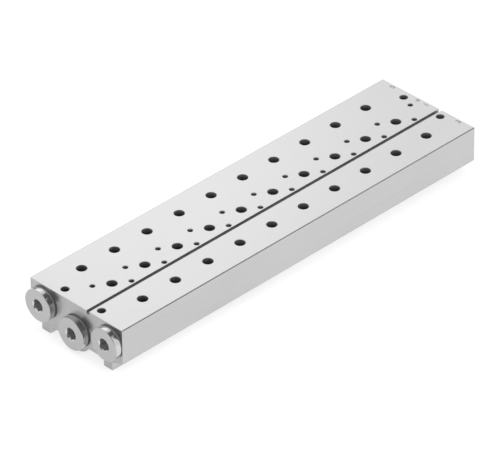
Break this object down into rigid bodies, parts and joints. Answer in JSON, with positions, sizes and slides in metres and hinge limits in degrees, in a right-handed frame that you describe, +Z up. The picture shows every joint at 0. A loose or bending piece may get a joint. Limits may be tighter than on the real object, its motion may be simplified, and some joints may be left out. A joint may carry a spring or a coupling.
{
  "type": "valve manifold rail",
  "caption": "Flat extruded aluminium rail with lengthwise ducts, rows of port and screw holes on top, threaded ports at one end and hexagon socket screw plugs at the other.",
  "frame": {"origin": "middle of the four mounting holes, in the plane that the feet stand on", "axes": "+X along the rail to the open threaded ports, +Y across it to the back, +Z up, out of the valve face"},
  "size_m": [0.25, 0.0642, 0.027],
  "materials": {
    "rail": "satin, clear anodised",
    "plug": "zinc plated, satin",
    "seal": "matt"
  },
  "bodies": {
    "root": {"rail": "rail", "plug_back": "plug", "plug_middle": "plug", "plug_front": "plug", "seal_back": "seal", "seal_middle": "seal", "seal_front": "seal"}
  },
  "joints": []
}
